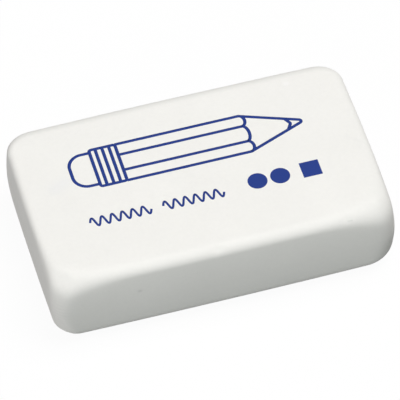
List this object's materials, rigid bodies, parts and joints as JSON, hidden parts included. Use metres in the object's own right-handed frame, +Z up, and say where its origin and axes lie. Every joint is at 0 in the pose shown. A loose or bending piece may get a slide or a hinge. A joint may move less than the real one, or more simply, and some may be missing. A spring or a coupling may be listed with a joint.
{
  "type": "eraser",
  "caption": "Soft white block eraser: a low rectangular block with swollen sides, round corners and rolled edges, printed in blue on its top face.",
  "frame": {"origin": "centre of the base, on the surface that the block rests on", "axes": "+X along the length, +Y across the width towards the back, +Z up through the printed face"},
  "size_m": [0.0408, 0.0248, 0.0105],
  "materials": {
    "white_rubber": "matte, slightly chalky",
    "blue_ink": "thin pad-printed ink"
  },
  "bodies": {
    "root": {"eraser_block": "white_rubber"}
  },
  "joints": []
}
